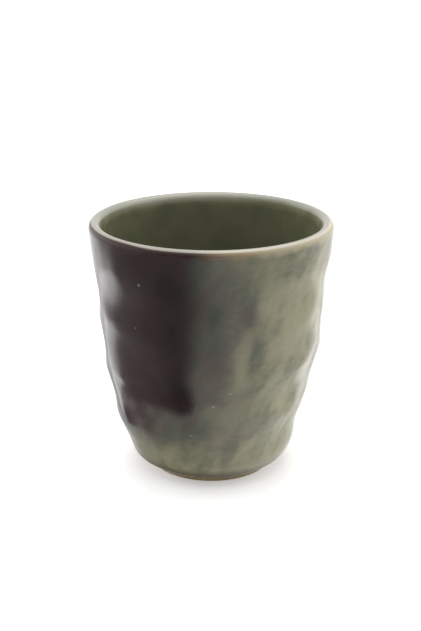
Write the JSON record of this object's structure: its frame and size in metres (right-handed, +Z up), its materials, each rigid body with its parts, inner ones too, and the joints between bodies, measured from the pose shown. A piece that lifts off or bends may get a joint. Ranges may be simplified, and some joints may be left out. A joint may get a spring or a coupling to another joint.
{
  "type": "coffee cup",
  "caption": "Handleless stoneware coffee cup with a thumb-dented wall, a rounded lip, a turned bare foot, a celadon glaze and a dark glaze poured down one side.",
  "frame": {"origin": "middle of the foot, on the surface that the cup stands on", "axes": "+Z up out of the mouth; -Y is the side the picture shows, with the dark pour towards -X"},
  "size_m": [0.085, 0.085, 0.0901],
  "materials": {
    "bare_clay": "matt unglazed stoneware",
    "celadon_glaze": "gloss, mottled grey-green",
    "iron_glaze": "gloss, dark brown",
    "liner_glaze": "gloss, smooth olive celadon"
  },
  "bodies": {
    "root": {"clay_body": "bare_clay", "outside_glaze": "celadon_glaze", "dark_glaze": "iron_glaze", "inside_glaze": "liner_glaze"}
  },
  "joints": []
}
